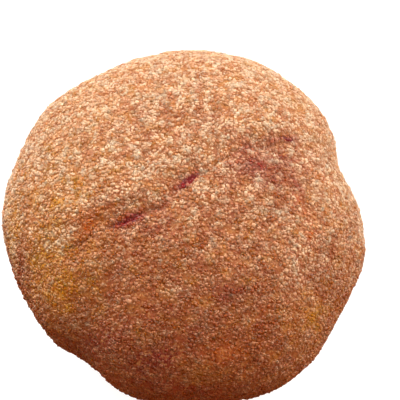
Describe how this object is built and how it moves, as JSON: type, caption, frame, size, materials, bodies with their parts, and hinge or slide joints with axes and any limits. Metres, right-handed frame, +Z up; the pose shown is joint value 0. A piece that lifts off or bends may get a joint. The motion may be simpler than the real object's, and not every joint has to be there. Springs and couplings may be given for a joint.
{
  "type": "jelly filled doughnut",
  "caption": "Round, plump jelly filled doughnut coated in granulated sugar, with a soft fold across its top and a small flat spot to rest on.",
  "frame": {"origin": "on the flat spot that the doughnut rests on, under the middle of its outline", "axes": "+Z up through the top, the shortest way through; the soft fold runs across the top along X, and -Y is the front"},
  "size_m": [0.0856, 0.0872, 0.0505],
  "materials": {
    "fried_crust": "golden brown fried dough, satin with a little frying fat, paler round the sides and darker underneath",
    "granulated_sugar": "clear to amber sugar crystals, sparkling",
    "fruit_jelly": "thin smear of dark red jelly, wet and glossy"
  },
  "bodies": {
    "root": {"doughnut": "fried_crust"}
  },
  "joints": []
}
